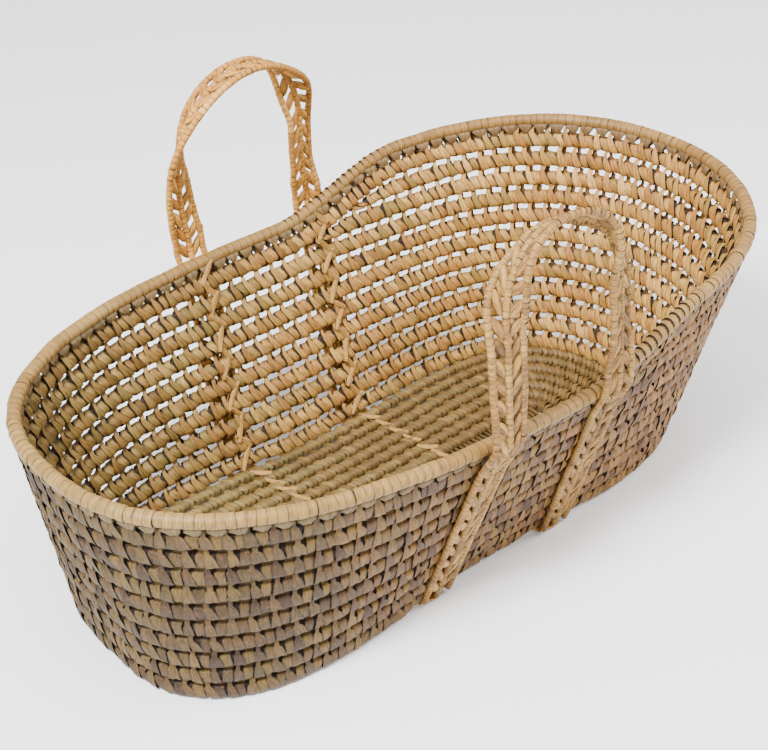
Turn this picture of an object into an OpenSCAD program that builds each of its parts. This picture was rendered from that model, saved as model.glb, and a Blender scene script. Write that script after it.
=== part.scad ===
// Moses basket: a long oval cot basket of coiled palm-leaf rows with a raised head end,
// a wrapped rim roll, two openwork straps sewn round the body and two carrying loops.
// Millimetres, +Z up, +X towards the head end. The origin is on the floor under the middle.
// The rows, cords and ties are swept shapes; the straps under the base are exact flat bars.

/* [Rim] */
// Length of the rim, between the middles of its roll
rim_length = 840; // [800:10:880]
// Width the sides aim for at the foot end
foot_width = 422; // [410:2:434]
// Width the sides aim for at the head end
head_width = 482; // [470:2:494]
// Height of the middle of the rim at the foot end
foot_height = 243; // [237:1:249]
// Height of the middle of the rim along the low part of the sides
side_height = 232; // [228:1:236]
// Height of the middle of the rim at the top of the step
step_height = 278; // [272:1:282]
// Height of the middle of the rim at the head end
head_height = 286; // [282:1:294]
// Diameter of the wrapped rim roll
rim_roll_d = 15; // [13:0.5:15.5]

/* [Step] */
// Where the rim starts to rise, measured from the middle
step_start = 13; // [5:1:20]
// Length over which it rises
step_run = 184; // [170:2:200]

/* [Flare] */
// How far the wall leans out at the foot end
foot_flare = 39; // [33:1:45]
// How far it leans out at the two foot corners
foot_corner_flare = 36; // [31:1:40]
// How far it leans out at the middle of the sides
side_flare = 85; // [80:1:90]
// How far it leans out at the two head corners
head_corner_flare = 66; // [60:1:71]
// How far it leans out at the head end
head_flare = 73; // [67:1:79]

/* [Weave] */
// Thickness of a coiled row, through the wall
row_thickness = 9; // [8:0.5:9.5]
// Slit between neighbouring rows
row_gap = 0.5; // [0.4:0.1:1]
// Height of the middle of the lowest row
base_height = 12.5; // [12.5:0.1:13]

/* [Straps and loops] */
// Position of the front strap nearer the foot, at the rim
front_foot_x = -92; // [-96:1:-88]
// Position of the front strap nearer the head, at the rim
front_head_x = 54; // [50:1:58]
// Position of the back strap nearer the foot, at the rim
back_foot_x = -97; // [-101:1:-93]
// Position of the back strap nearer the head, at the rim
back_head_x = 66; // [62:1:69]
// Distance between the middles of neighbouring cords in a strap
cord_pitch = 16.5; // [16:0.5:17]
// Diameter of a wrapped strap cord
cord_d = 8; // [7:0.5:8]
// How far the front carrying loop rises above its fold line
front_loop_rise = 188; // [174:2:200]
// How far the back carrying loop rises above its fold line
back_loop_rise = 178; // [168:2:200]
// How far the front loop is turned over at its top
front_loop_turn = 125; // [110:5:130]
// How far the back loop is turned at its top, so a hand meets its flat face
back_loop_turn = 85; // [60:5:90]

/* [Lacing] */
// Diameter of the sisal lacing that ties the straps through the weave
lacing_d = 5; // [4:0.5:5.5]

/* [Hidden] */

front = -1;
back = 1;
half_length = rim_length / 2;
head_square = 3.26;
foot_square = 2.95;
head_round = 1.95;
foot_round = 2.42;
side_count = 10;
head_count = 12;
ring_count = 7;
wall_stations = 56;
corner_stations = 100;
rim_stations = 64;
clear = 0.4;
edge_share = 0.3;

// Base: straight heart of the oval, and the rings round it
heart_foot_x = -232;
heart_head_x = 202;
base_floor = 4.7;
base_edge_inset = 9.5;

// Straps: where each one meets the bottom corner
front_foot_base_x = -95;
front_head_base_x = 77;
back_foot_base_x = -117;
back_head_base_x = 48;
under_thickness = 4.2;
notch_half = 30;
notch_fall = 26;
notch_lift = 5.4;
cord_r = cord_d / 2;
strap_y = 240;
fold_z = 256;
fold_gap = 9;
front_loop_arch = 84;
back_loop_arch = 92;
front_loop_skew = -14;
back_loop_bow = -11;
toe_ease = 0.25;
// For each leg, foot end then head end: how far it toes in or out, and where its turn begins
front_toe = [10, 20];
back_toe = [12, -18];
front_twist_start = [0.5, 0.55];
back_twist_start = [0.2, 0.5];
loop_lean = 12;
tie_pitch = 20;
tie_half = 1.6;
tie_thin = 1.1;
tie_slant = 0.8;

leaf_outside = "#A98F68";
leaf_inside = "#B6925A";
leaf_base = "#B89C5C";
leaf_rim = "#CDB483";
leaf_strap = "#A8834C";
leaf_tie = "#B99459";
sisal = "#C79A52";

// ---- Plan of the rim ----

function signed_power(v, e) = sign(v) * pow(abs(v), e);
function smooth(v) = let (k = min(max(v, 0), 1)) k * k * (3 - 2 * k);
function half_width(x) =
    (foot_width + head_width) / 4 + (head_width - foot_width) / 4 * x / half_length;
function rim_plan(a) =
    let (
        x = half_length * signed_power(cos(a), 2 / (cos(a) > 0 ? head_square : foot_square)),
        y = signed_power(sin(a), 2 / (cos(a) > 0 ? head_round : foot_round))
    )
    [x, half_width(x) * y];

// Angle of the rim point at a given x, on the front (-1) or back (+1) side
function angle_at(x, side) =
    side * acos(signed_power(x / half_length, (x > 0 ? head_square : foot_square) / 2));

function rise(x) = smooth((x - step_start) / step_run);
function rim_height(x) =
    side_height
    + (step_height - side_height) * rise(x)
    + (head_height - step_height) * max(x - step_start - step_run, 0)
        / (half_length - step_start - step_run)
    + (foot_height - side_height) * max(step_start - x, 0) / (half_length + step_start);
function row_count(x) = side_count + (head_count - side_count) * rise(x);

function flare(p) =
    let (
        a = atan2(p[1] / half_width(0), p[0] / half_length),
        end = cos(a) > 0 ? head_flare : foot_flare,
        corner = cos(a) > 0 ? head_corner_flare : foot_corner_flare
    )
    end * pow(cos(a), 2) + side_flare * pow(sin(a), 2)
    + (corner - (end + side_flare) / 2) * pow(sin(2 * a), 2);

// Equal steps along the rim
plan_samples = 720;
plan_points = [for (i = [0:plan_samples]) rim_plan(i * 360 / plan_samples)];
function running(list, i = 0, sum = 0) =
    i == len(list) - 1
        ? [sum]
        : concat([sum], running(list, i + 1, sum + norm(list[i + 1] - list[i])));
plan_lengths = running(plan_points);
plan_total = plan_lengths[plan_samples];
length_to_angle = [for (i = [0:plan_samples]) [plan_lengths[i], i * 360 / plan_samples]];
angle_to_length = [for (i = [0:plan_samples]) [i * 360 / plan_samples, plan_lengths[i]]];
function wrap(v, span) = v - span * floor(v / span);
function plan_at(s) = rim_plan(lookup(wrap(s, plan_total), length_to_angle));

// ---- Frame of the wall: [rim point, base point, way up the wall, way out of the wall] ----

function wall_frame(s) =
    let (
        p = plan_at(s),
        along = plan_at(s + 4) - plan_at(s - 4),
        out = [along[1], -along[0]] / norm(along),
        inner = p - out * flare(p),
        top = [p[0], p[1], rim_height(p[0])],
        foot = [inner[0], inner[1], base_height],
        up = (top - foot) / norm(top - foot),
        lean = norm([up[0], up[1]])
    )
    [top, foot, up, [out[0] * up[2], out[1] * up[2], -lean], out];
function frame_at_x(x, side) =
    wall_frame(lookup(wrap(angle_at(x, side), 360), angle_to_length));
function wall_point(f, index, out) =
    f[1] + (f[0] - f[1]) * index / row_count(f[0][0]) + f[3] * out;
function frames(count) = [for (i = [0:count - 1]) wall_frame(i * plan_total / count)];
wall_frames = frames(wall_stations);
corner_frames = frames(corner_stations);
rim_frames = frames(rim_stations);

// ---- Sweeps ----

function ring_faces(sides, count, closed, first = 0) =
    [
        for (i = [0:count - (closed ? 1 : 2)])
            for (j = [0:sides - 1])
                let (
                    a = first + i * sides + j,
                    b = first + i * sides + (j + 1) % sides,
                    c = first + ((i + 1) % count) * sides + (j + 1) % sides,
                    d = first + ((i + 1) % count) * sides + j
                )
                each [[a, c, b], [a, d, c]]
    ];
function cap_faces(sides, count, first = 0) =
    [
        for (j = [1:sides - 2])
            each [
                [first, first + j, first + j + 1],
                [
                    first + (count - 1) * sides,
                    first + (count - 1) * sides + j + 1,
                    first + (count - 1) * sides + j
                ]
            ]
    ];
function flatten(list) = [for (item = list) each item];

module closed_sweep(rings) {
    polyhedron(
        points = flatten(rings),
        faces = ring_faces(len(rings[0]), len(rings), true),
        convexity = 8
    );
}

module open_sweep(rings) {
    polyhedron(
        points = flatten(rings),
        faces = concat(
            ring_faces(len(rings[0]), len(rings), false),
            cap_faces(len(rings[0]), len(rings))
        ),
        convexity = 8
    );
}

// Several separate open sweeps, all with rings of the same size, as one piece
module sweep_set(sweeps) {
    sides = len(sweeps[0][0]);
    starts = [
        for (i = 0, sum = 0; i < len(sweeps); sum = sum + sides * len(sweeps[i]), i = i + 1) sum
    ];
    polyhedron(
        points = flatten(flatten(sweeps)),
        faces = flatten([
            for (i = [0:len(sweeps) - 1])
                concat(
                    ring_faces(sides, len(sweeps[i]), false, starts[i]),
                    cap_faces(sides, len(sweeps[i]), starts[i])
                )
        ]),
        convexity = 8
    );
}

function unit(v) = v / norm(v);
function rope(path, r, side_way, sides = 6) =
    [
        for (i = [0:len(path) - 1])
            let (
                ahead = unit(path[min(i + 1, len(path) - 1)] - path[max(i - 1, 0)]),
                u = unit(cross(ahead, side_way)),
                v = cross(ahead, u)
            )
            [for (k = [0:sides - 1]) path[i] + r * (cos(k * 360 / sides) * u + sin(k * 360 / sides) * v)]
    ];

// ---- Coiled rows of the wall ----

function section(f, low, high, thickness) =
    let (
        span = norm(f[0] - f[1]) / row_count(f[0][0]),
        a = low * span + row_gap / 2,
        b = high * span - row_gap / 2,
        m = (a + b) / 2,
        e = thickness * edge_share,
        h = thickness / 2
    )
    [
        for (q = [[a, -e], [m, -h], [b, -e], [b, e], [m, h], [a, e]])
            f[1] + f[2] * q[0] + f[3] * q[1]
    ];

function near_strap(x, y, front_x, back_x) =
    let (d = abs(x - (y < 0 ? front_x : back_x)))
    abs(y) < half_width(0) / 3 ? 0 : min(max((notch_half + notch_fall - d) / notch_fall, 0), 1);
function notch(p) =
    max(
        near_strap(p[0], p[1], front_foot_base_x, back_foot_base_x),
        near_strap(p[0], p[1], front_head_base_x, back_head_base_x)
    ) * notch_lift / (side_height - base_height) * side_count;

module corner_row() {
    color(leaf_outside)
        closed_sweep([for (f = corner_frames) section(f, -0.5 + notch(f[1]), 0.5, row_thickness)]);
}

module full_row(index) {
    color(leaf_outside)
        closed_sweep([for (f = wall_frames) section(f, index - 0.5, index + 0.5, row_thickness)]);
}

module shoulder_row() {
    color(leaf_outside)
        closed_sweep([
            for (f = wall_frames)
                section(f, row_count(f[0][0]) - 1.5, row_count(f[0][0]) - 0.5, row_thickness)
        ]);
}

// A short row that fills the step: it grows in from a thin tip on each side
thin_tip = 0.22;
head_row_ease = 0.07;
part_stations = 44;
function tip_x(index) =
    let (wanted = (index - side_count + 1 + thin_tip) / (head_count - side_count))
    step_start + step_run * inverse_smooth(wanted);
function inverse_smooth(v) = 0.5 - sin(asin(1 - 2 * v) / 3);
module head_row(index) {
    s0 = lookup(angle_at(tip_x(index), back), angle_to_length);
    color(leaf_outside)
        open_sweep([
            for (i = [0:part_stations])
                let (
                    f = wall_frame(-s0 + i * 2 * s0 / part_stations),
                    high = min(index + 0.5, row_count(f[0][0]) - 1.5 - head_row_ease)
                )
                section(f, index - 0.5, high, row_thickness)
        ]);
}

// ---- Rim roll, drawn down to the row below it where the leaf lashing goes round ----

rim_sides = 8;
module rim_roll() {
    color(leaf_rim)
        closed_sweep([
            for (f = rim_frames)
                let (
                    span = norm(f[0] - f[1]) / row_count(f[0][0]),
                    r = rim_roll_d / 2
                )
                [
                    for (k = [0:rim_sides - 1])
                        let (
                            a = k * 360 / rim_sides,
                            drop = k == 0 ? span / 2 - row_gap / 2 - r : 0
                        )
                        f[0] - f[2] * (r * cos(a) + drop) - f[3] * r * sin(a)
                ]
        ]);
}

// ---- Base: a straight core and rings round it ----

function heart(p) = [min(max(p[0], heart_foot_x), heart_head_x), 0];
function base_edge(f) = [f[1][0], f[1][1]] - base_edge_inset * f[4];
function base_section(f, low, high) =
    let (
        p = base_edge(f),
        c = heart(p),
        way = unit(p - c),
        a = low * norm(p - c) + row_gap / 2,
        b = high * norm(p - c) - row_gap / 2,
        m = (a + b) / 2,
        mid = base_floor + row_thickness / 2,
        e = row_thickness * edge_share,
        h = row_thickness / 2
    )
    [
        for (q = [[a, e], [m, h], [b, e], [b, -e], [m, -h], [a, -e]])
            [c[0] + way[0] * q[0], c[1] + way[1] * q[0], mid + q[1]]
    ];
function ring_edge(k) = (k + 0.5) / (ring_count + 0.5);

module base_ring(k) {
    color(leaf_base)
        closed_sweep([for (f = wall_frames) base_section(f, ring_edge(k - 1), ring_edge(k))]);
}

core_half = 8.2;
module base_core() {
    color(leaf_base)
        translate([0, 0, base_floor])
            linear_extrude(row_thickness)
                union() {
                    translate([heart_foot_x, -core_half])
                        square([heart_head_x - heart_foot_x, 2 * core_half]);
                    translate([heart_foot_x, 0])
                        circle(core_half, $fn = 48);
                    translate([heart_head_x, 0])
                        circle(core_half, $fn = 48);
                }
}

// ---- Straps sewn up the outside of the wall ----

leg_off = row_thickness / 2 + cord_r + clear;
rim_off = rim_roll_d / 2 + cord_r + clear;
leg_start = under_thickness + clear;
function leg_path(x_rim, x_base, side) =
    let (
        low = frame_at_x(x_base, side),
        high = frame_at_x(x_rim, side),
        start = low[1] + low[3] * leg_off,
        below = (leg_start - start[2]) / low[2][2],
        under_rim = high[0] - high[2] * 26 + high[3] * leg_off,
        at_rim = high[0] + high[4][1] * [0, rim_off, 0]
    )
    [
        start + low[2] * below + [x_base - start[0], 0, 0],
        under_rim + [x_rim - under_rim[0], 0, 0],
        [x_rim, at_rim[1] * 0.5 + side * strap_y * 0.5, at_rim[2] - 2],
        [x_rim, side * strap_y, at_rim[2] + 9],
        [x_rim, side * strap_y, fold_z - clear]
    ];
function leg_ties(x_rim, x_base, side) =
    let (
        a = leg_path(x_rim, x_base, side),
        run = norm(a[1] - a[0]),
        count = floor(run / tie_pitch),
        up = unit(a[1] - a[0]),
        face = unit(cross(up, [1, 0, 0]))
    )
    [
        for (i = [0:count - 1], lane = [-1, 0])
            let (
                base = a[0] + up * (i + 0.5) * run / count + [lane * cord_pitch, 0, 0],
                slope = (lane < 0 ? 1 : -1) * cord_r * tie_slant
            )
            tie(
                base + [cord_r + clear, 0, 0] - up * slope,
                base + [cord_pitch - cord_r - clear, 0, 0] + up * slope,
                up, -face
            )
    ];
function tie(p, q, up, face) =
    [
        for (c = [p, q])
            [
                c + up * tie_half + face * tie_thin,
                c - up * tie_half + face * tie_thin,
                c - up * tie_half - face * tie_thin,
                c + up * tie_half - face * tie_thin
            ]
    ];

module wall_strap(x_rim, x_base, side) {
    color(leaf_strap)
        sweep_set([
            for (lane = [-1, 0, 1])
                rope(
                    leg_path(x_rim + lane * cord_pitch, x_base + lane * cord_pitch, side),
                    cord_r, [1, 0, 0]
                )
        ]);
}

// All four straps' leaf ties are the same small piece, so they share one node
module strap_ties() {
    color(leaf_tie)
        sweep_set(concat(
            leg_ties(front_foot_x, front_foot_base_x, front),
            leg_ties(front_head_x, front_head_base_x, front),
            leg_ties(back_foot_x, back_foot_base_x, back),
            leg_ties(back_head_x, back_head_base_x, back)
        ));
}

// ---- Straps under the base: flat bars with cross ties, their undersides on the floor ----

cross_tie = 5;
function leg_foot(x_base, side) = leg_path(x_base, x_base, side)[0];
module under_strap(front_x, back_x) {
    a = leg_foot(front_x, front);
    b = leg_foot(back_x, back);
    span = norm([b[0] - a[0], b[1] - a[1]]);
    turn = atan2(b[0] - a[0], b[1] - a[1]);
    pairs = floor(span / (2 * tie_pitch));
    color(leaf_strap)
        translate([a[0], a[1], 0])
            rotate([0, 0, -turn])
                linear_extrude(under_thickness)
                    union() {
                        for (lane = [-1:1])
                            translate([lane * cord_pitch - cord_r, -cord_r])
                                square([cord_d, span + 2 * cord_r]);
                        for (i = [0:pairs])
                            translate([-cord_pitch, i * span / pairs - cross_tie / 2])
                                square([2 * cord_pitch, cross_tie]);
                    }
}

// ---- Carrying loops ----

leg_points = 8;
arch_points = 24;
function by_side(side, at_front, at_back) = side == front ? at_front : at_back;
function loop_rise(side) = by_side(side, front_loop_rise, back_loop_rise);
function loop_line(x0, x1, side) =
    let (
        mid = (x0 + x1) / 2,
        half = (x1 - x0) / 2,
        z0 = fold_z + fold_gap,
        loop_arch = by_side(side, front_loop_arch, back_loop_arch),
        z1 = fold_z + loop_rise(side) - loop_arch
    )
    concat(
        [for (i = [0:leg_points - 1]) [x0, z0 + (z1 - z0) * i / leg_points]],
        [
            for (i = [0:arch_points])
                let (a = 180 - i * 180 / arch_points)
                [mid + half * cos(a), z1 + loop_arch * sin(a)]
        ],
        [for (i = [leg_points - 1:-1:0]) [x1, z0 + (z1 - z0) * i / leg_points]]
    );
function loop_frame(x0, x1, side) =
    let (line = loop_line(x0, x1, side), last = len(line) - 1)
    [
        for (i = [0:last])
            let (
                ahead = unit(line[min(i + 1, last)] - line[max(i - 1, 0)]),
                share = (line[i][1] - fold_z) / loop_rise(side),
                leg = i < last / 2 ? 0 : 1,
                start = by_side(side, front_twist_start, back_twist_start)[leg],
                toe = by_side(side, front_toe, back_toe)[leg],
                top_turn = by_side(side, front_loop_turn, back_loop_turn),
                turn = toe * smooth(share / toe_ease)
                    + (top_turn - toe) * smooth((share - start) / (1 - start)),
                skew = by_side(side, front_loop_skew, 0) * pow(share, 2)
                    + by_side(side, 0, back_loop_bow) * 4 * share * (1 - share),
                point = [line[i][0] + skew, side * (strap_y - loop_lean * share), line[i][1]]
            )
            [point, [-ahead[1] * cos(turn), -side * sin(turn), ahead[0] * cos(turn)]]
    ];
function loop_lane(x0, x1, side, lane) =
    [for (f = loop_frame(x0, x1, side)) f[0] + f[1] * lane * cord_pitch];

module loop_edge_cords(x0, x1, side) {
    color(leaf_strap)
        sweep_set([
            for (lane = [-1, 1]) rope(loop_lane(x0, x1, side, lane), cord_r, [0, 1, 0])
        ]);
}

module loop_middle_cord(x0, x1, side) {
    color(leaf_strap)
        sweep_set([rope(loop_lane(x0, x1, side, 0), cord_r, [0, 1, 0])]);
}

module loop_ties(x0, x1, side) {
    path = loop_frame(x0, x1, side);
    color(leaf_tie)
        sweep_set([
            for (i = [1:2:len(path) - 2], lane = [0, 1])
                let (
                    p = path[i][0],
                    w = path[i][1],
                    up = unit(path[i + 1][0] - path[i - 1][0]),
                    face = unit(cross(up, w)),
                    near = p + w * ((lane - 1) * cord_pitch + cord_r + clear),
                    far = p + w * (lane * cord_pitch - cord_r - clear),
                    slope = (lane == 0 ? 1 : -1) * cord_r * tie_slant
                )
                tie(near - up * slope, far + up * slope, up, -face)
        ]);
}

// ---- Sisal lacing inside ----

function lacing_path(x_rim, x_base, side) =
    let (
        low = frame_at_x(x_base, side),
        high = frame_at_x(x_rim, side),
        in_off = row_thickness / 2 + lacing_d / 2 + clear,
        a = high[0] - high[2] * 16 - high[3] * in_off,
        b = low[1] + low[2] * 14 - low[3] * in_off
    )
    [for (i = [0:10]) a + (b - a) * i / 10 + [(i % 2 == 0 ? 1 : -1) * lacing_d / 2, 0, 0]];

module wall_lacing(x_rim, x_base, side) {
    color(sisal)
        sweep_set([rope(lacing_path(x_rim, x_base, side), lacing_d / 2, [1, 0, 0])]);
}

module floor_lacing(front_x, back_x) {
    top = base_floor + row_thickness + lacing_d / 2 + clear;
    a = wall_point(frame_at_x(front_x, front), 0, 0);
    b = wall_point(frame_at_x(back_x, back), 0, 0);
    inner = 22 / norm(b - a);
    color(sisal)
        sweep_set([
            rope(
                [
                    for (i = [0:12])
                        let (
                            k = inner + (1 - 2 * inner) * i / 12,
                            sway = (i % 2 == 0 ? 1 : -1) * lacing_d / 2
                        )
                        [front_x + (back_x - front_x) * k + sway, a[1] + (b[1] - a[1]) * k, top]
                ],
                lacing_d / 2, [1, 0, 0]
            )
        ]);
}

base_core();
base_ring(1);  // base_ring_1
base_ring(2);  // base_ring_2
base_ring(3);  // base_ring_3
base_ring(4);  // base_ring_4
base_ring(5);  // base_ring_5
base_ring(6);  // base_ring_6
base_ring(7);  // base_ring_7
corner_row();  // wall_row_1
full_row(1);  // wall_row_2
full_row(2);  // wall_row_3
full_row(3);  // wall_row_4
full_row(4);  // wall_row_5
full_row(5);  // wall_row_6
full_row(6);  // wall_row_7
full_row(7);  // wall_row_8
full_row(8);  // wall_row_9
head_row(9);  // head_row_lower
head_row(10);  // head_row_upper
shoulder_row();
rim_roll();
wall_strap(front_foot_x, front_foot_base_x, front);  // front_strap_foot
wall_strap(front_head_x, front_head_base_x, front);  // front_strap_head
wall_strap(back_foot_x, back_foot_base_x, back);  // back_strap_foot
wall_strap(back_head_x, back_head_base_x, back);  // back_strap_head
strap_ties();
under_strap(front_foot_base_x, back_foot_base_x);  // under_strap_foot
under_strap(front_head_base_x, back_head_base_x);  // under_strap_head
loop_edge_cords(front_foot_x, front_head_x, front);  // front_loop_edge_cords
loop_middle_cord(front_foot_x, front_head_x, front);  // front_loop_middle_cord
loop_ties(front_foot_x, front_head_x, front);  // front_loop_ties
loop_edge_cords(back_foot_x, back_head_x, back);  // back_loop_edge_cords
loop_middle_cord(back_foot_x, back_head_x, back);  // back_loop_middle_cord
loop_ties(back_foot_x, back_head_x, back);  // back_loop_ties
wall_lacing(front_foot_x, front_foot_base_x, front);  // wall_lacing_front_foot
wall_lacing(front_head_x, front_head_base_x, front);  // wall_lacing_front_head
wall_lacing(back_foot_x, back_foot_base_x, back);  // wall_lacing_back_foot
wall_lacing(back_head_x, back_head_base_x, back);  // wall_lacing_back_head
floor_lacing(front_foot_base_x, back_foot_base_x);  // floor_lacing_foot
floor_lacing(front_head_base_x, back_head_base_x);  // floor_lacing_head
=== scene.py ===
"""Coiled palm-leaf moses basket: weaves every row, the rim, the straps, the carrying loops and the
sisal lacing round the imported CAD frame, in metres, in the frame's own axes."""

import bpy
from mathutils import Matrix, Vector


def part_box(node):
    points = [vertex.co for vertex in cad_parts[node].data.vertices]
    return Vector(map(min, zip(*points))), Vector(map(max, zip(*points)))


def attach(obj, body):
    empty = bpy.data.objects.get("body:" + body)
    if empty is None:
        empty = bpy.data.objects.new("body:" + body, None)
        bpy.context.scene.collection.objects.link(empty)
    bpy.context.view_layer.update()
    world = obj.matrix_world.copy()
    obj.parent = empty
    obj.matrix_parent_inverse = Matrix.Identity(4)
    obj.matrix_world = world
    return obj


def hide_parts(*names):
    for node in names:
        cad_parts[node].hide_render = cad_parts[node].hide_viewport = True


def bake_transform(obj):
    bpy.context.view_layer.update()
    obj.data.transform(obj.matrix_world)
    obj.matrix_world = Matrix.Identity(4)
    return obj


bl_info = {
    "name": "Coiled palm-leaf moses basket",
    "version": (1, 0, 0),
    "blender": (4, 5, 0),
    "location": "View3D > Sidebar > Basket",
    "description": "Weaves a palm-leaf moses basket round its CAD frame",
    "category": "Add Mesh",
}

import bisect
import math
import random

import bmesh
import bpy
from mathutils import Vector

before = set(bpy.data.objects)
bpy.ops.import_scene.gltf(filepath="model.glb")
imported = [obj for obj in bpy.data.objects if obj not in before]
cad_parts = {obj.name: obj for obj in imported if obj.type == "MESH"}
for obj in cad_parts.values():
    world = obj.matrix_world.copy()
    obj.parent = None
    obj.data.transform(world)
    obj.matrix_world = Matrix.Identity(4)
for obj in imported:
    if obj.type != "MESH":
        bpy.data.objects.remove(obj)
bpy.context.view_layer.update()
MM = 0.001

# ---- Sizes of the basket, the same as the solids it is woven round ----

RIM_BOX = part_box("rim_roll")
ROLL_RADIUS = 7.5 * MM
HALF_LENGTH = RIM_BOX[1][0] - ROLL_RADIUS
HALF_WIDTH = 226 * MM
WIDTH_GAIN = 15 * MM
FOOT_SQUARE, HEAD_SQUARE = 2.95, 3.26
FOOT_ROUND, HEAD_ROUND = 2.42, 1.95
FOOT_HEIGHT, SIDE_HEIGHT, STEP_HEIGHT, HEAD_HEIGHT = (v * MM for v in (243, 232, 278, 286))
STEP_START, STEP_RUN = 13 * MM, 184 * MM
FOOT_FLARE, FOOT_CORNER_FLARE = 39 * MM, 36 * MM
SIDE_FLARE = 85 * MM
HEAD_CORNER_FLARE, HEAD_FLARE = 66 * MM, 73 * MM
BASE_HEIGHT = 12.5 * MM
SIDE_ROWS, HEAD_ROWS = 10, 12
ROW_THICK = 9 * MM
RING_COUNT = 7
BASE_FLOOR = 4.7 * MM
BASE_EDGE_INSET = 9.5 * MM
HEART_FOOT, HEART_HEAD = -232 * MM, 202 * MM
THIN_TIP = 0.22
NOTCH_HALF, NOTCH_FALL, NOTCH_LIFT = 30 * MM, 26 * MM, 5.4 * MM

FRONT, BACK = -1, 1
CORD_PITCH = 16.5 * MM
CORD_RADIUS = 4 * MM
STRAP_Y = 240 * MM
FOLD_Z = 256 * MM
LOOP_LEAN = 12 * MM
CORD_CLEAR = 0.4 * MM
LEG_FOOT_Z, LEG_FOOT_LIFT = 4.6 * MM, 4 * MM
LEG_UNDER_RIM, LEG_OVER_RIM = 26 * MM, 9 * MM
UNDER_STRAP_Z = 2.5 * MM
LACE_START, LACE_END = 10 * MM, 12 * MM
OPEN_FRONT_GAP, OPEN_RING_GAP = 4 * MM, 1 * MM
FIRST_OPEN_RING = RING_COUNT - 1
LOOP_RISE = {FRONT: 188 * MM, BACK: 178 * MM}
LOOP_ARCH = {FRONT: 84 * MM, BACK: 92 * MM}
LOOP_TURN = {FRONT: math.radians(125), BACK: math.radians(85)}
LOOP_SKEW = {FRONT: -14 * MM, BACK: 0.0}
LOOP_BOW = {FRONT: 0.0, BACK: -11 * MM}
TOE_EASE = 0.25
# For each leg, foot end then head end: how far it toes in or out, and where its turn begins
LOOP_TOE = {FRONT: (math.radians(10), math.radians(20)), BACK: (math.radians(12), math.radians(-18))}
TWIST_START = {FRONT: (0.5, 0.55), BACK: (0.2, 0.5)}
STRAPS = {
    "front_strap_foot": (-92 * MM, -95 * MM, FRONT),
    "front_strap_head": (54 * MM, 77 * MM, FRONT),
    "back_strap_foot": (-97 * MM, -117 * MM, BACK),
    "back_strap_head": (66 * MM, 48 * MM, BACK),
}


def srgb(code):
    """A linear colour from an sRGB hex code."""
    parts = [int(code[i : i + 2], 16) / 255 for i in (1, 3, 5)]
    return [c / 12.92 if c <= 0.04045 else ((c + 0.055) / 1.055) ** 2.4 for c in parts] + [1.0]


# ---- What a user can change ----


def length_property(name, description, value):
    """A length in metres that the panel shows in the scene's own units."""
    return bpy.props.FloatProperty(name=name, description=description, default=value, unit="LENGTH")


def angle_property(name, description, degrees):
    """An angle that the panel shows in degrees."""
    return bpy.props.FloatProperty(
        name=name, description=description, default=math.radians(degrees), subtype="ANGLE"
    )


class BasketWeave(bpy.types.PropertyGroup):
    """Sizes of the coiled rows"""

    row_gap: length_property("Row gap", "Open space between two wall rows", 7.4 * MM)
    floor_gap: length_property("Floor gap", "Open space between two rows of the base", 6.2 * MM)
    wrap_pitch: length_property("Wrap pitch", "Distance from one leaf wrap to the next", 9.6 * MM)
    floor_pitch: length_property("Floor wrap pitch", "Distance between wraps in the base", 6.6 * MM)
    rim_pitch: length_property("Rim wrap pitch", "Distance between wraps of the rim roll", 8.6 * MM)
    cord_pitch: length_property("Cord wrap pitch", "Distance between wraps of a strap cord", 6.4 * MM)
    tie_pitch: length_property("Tie pitch", "Distance between the leaf ties of a strap", 20 * MM)
    seed: bpy.props.IntProperty(name="Seed", description="Seed of the hand-made unevenness", default=11)


class BasketColours(bpy.types.PropertyGroup):
    """Colour of the stage"""

    floor: bpy.props.FloatVectorProperty(
        name="Floor", description="Pale studio floor", default=srgb("#FCFCFC"), size=4, subtype="COLOR"
    )


class BasketStage(bpy.types.PropertyGroup):
    """Camera"""

    azimuth: angle_property("Azimuth", "Camera direction round the basket", -42.12)
    elevation: angle_property("Elevation", "Camera height above the horizon", 35.76)
    distance: length_property("Distance", "Camera distance from its aim point", 1.6657)
    lens: bpy.props.FloatProperty(name="Lens", description="Focal length in millimetres", default=72.78)


# ---- Plan and wall of the basket ----


def signed_power(value, power):
    return math.copysign(abs(value) ** power, value)


def smooth(value):
    k = min(max(value, 0.0), 1.0)
    return k * k * (3 - 2 * k)


def inverse_smooth(value):
    return 0.5 - math.sin(math.asin(1 - 2 * value) / 3)


def half_width(x):
    return HALF_WIDTH + WIDTH_GAIN * x / HALF_LENGTH


def rim_plan(angle):
    c, s = math.cos(angle), math.sin(angle)
    x = HALF_LENGTH * signed_power(c, 2 / (HEAD_SQUARE if c > 0 else FOOT_SQUARE))
    return Vector((x, half_width(x) * signed_power(s, 2 / (HEAD_ROUND if c > 0 else FOOT_ROUND)), 0))


PLAN_SAMPLES = 1440
PLAN_POINTS = [rim_plan(2 * math.pi * i / PLAN_SAMPLES) for i in range(PLAN_SAMPLES + 1)]
PLAN_RUN = [0.0]
for before, after in zip(PLAN_POINTS, PLAN_POINTS[1:]):
    PLAN_RUN.append(PLAN_RUN[-1] + (after - before).length)
PLAN_TOTAL = PLAN_RUN[-1]


def plan_at(run):
    run %= PLAN_TOTAL
    i = min(bisect.bisect_right(PLAN_RUN, run) - 1, PLAN_SAMPLES - 1)
    share = (run - PLAN_RUN[i]) / max(PLAN_RUN[i + 1] - PLAN_RUN[i], 1e-9)
    return rim_plan(2 * math.pi * (i + share) / PLAN_SAMPLES)


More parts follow.
